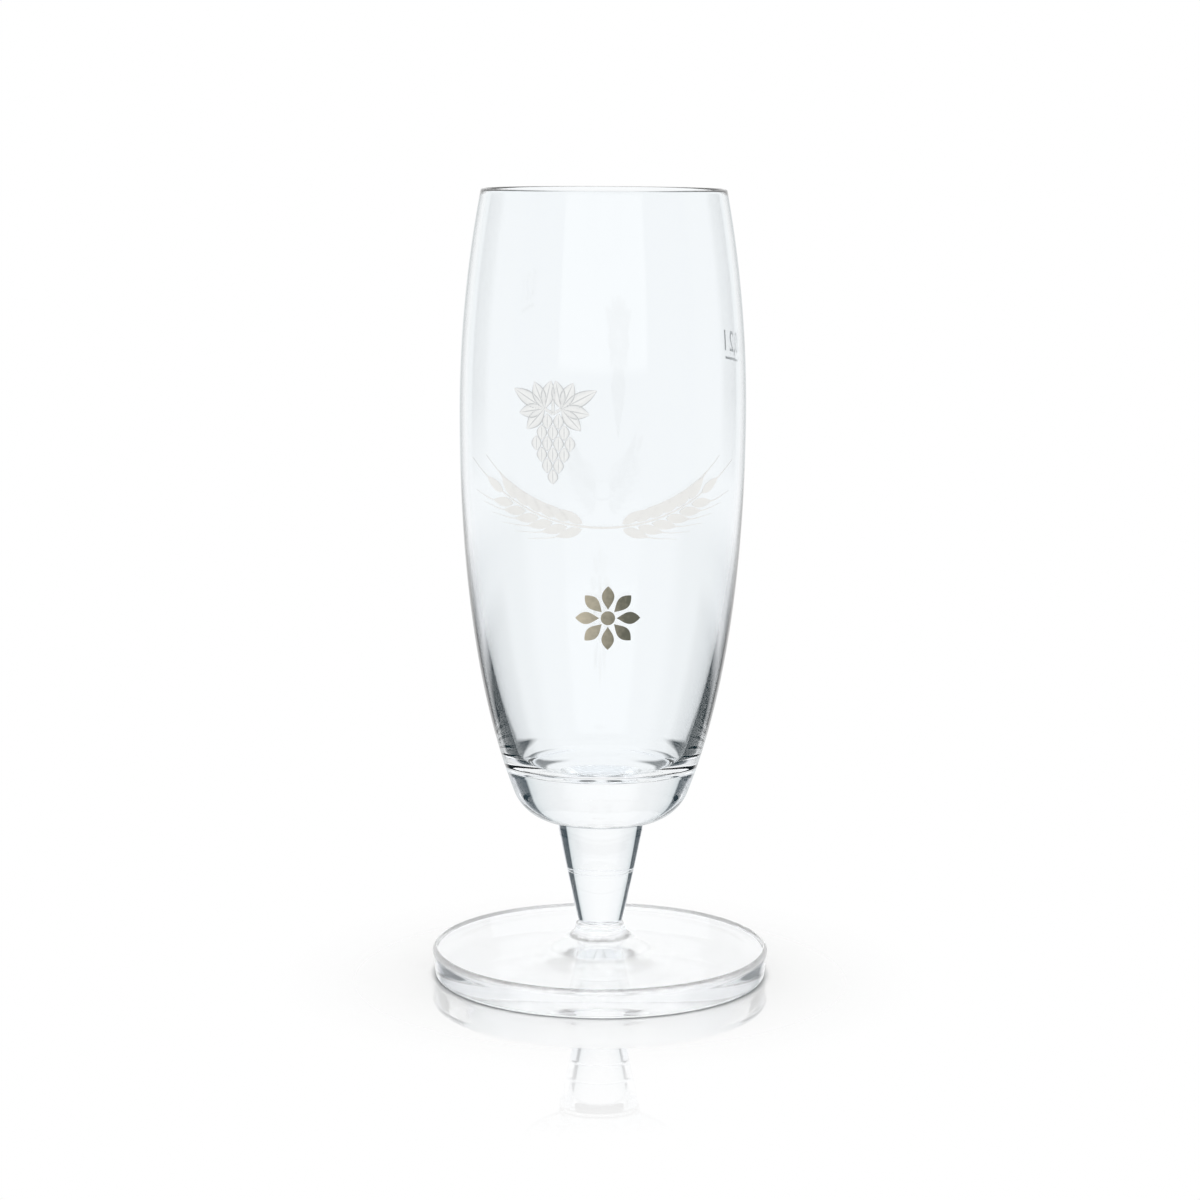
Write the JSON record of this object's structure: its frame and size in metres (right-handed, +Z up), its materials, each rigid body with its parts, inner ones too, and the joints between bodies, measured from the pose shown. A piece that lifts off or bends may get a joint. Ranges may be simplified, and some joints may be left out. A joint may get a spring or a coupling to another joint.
{
  "type": "pilsner glass",
  "caption": "Footed tulip-shaped drinking glass with a thick base, a short conical stem, a pressed round foot and enamel prints on the bowl.",
  "frame": {"origin": "centre of the foot's resting ring, in the plane of the table", "axes": "+Z up along the glass's axis of revolution, -Y towards the printed front, +X to the right seen from the front"},
  "size_m": [0.0742, 0.0742, 0.1724],
  "materials": {
    "glass_bowl": "clear blown soda-lime glass with a fire-polished lip",
    "glass_stem": "clear drawn soda-lime glass, fire polished",
    "glass_foot": "clear pressed soda-lime glass, fire polished",
    "white_enamel": "thin off-white fired enamel, satin",
    "gold_lustre": "pale gold lustre fired on the glass",
    "grey_enamel": "grey fired enamel, satin"
  },
  "bodies": {
    "root": {"bowl": "glass_bowl", "stem_upper": "glass_stem", "stem_lower": "glass_stem", "foot": "glass_foot", "print_hop_sprig": "white_enamel", "print_barley_garland": "white_enamel", "print_rosette": "gold_lustre", "fill_line": "grey_enamel"}
  },
  "joints": []
}
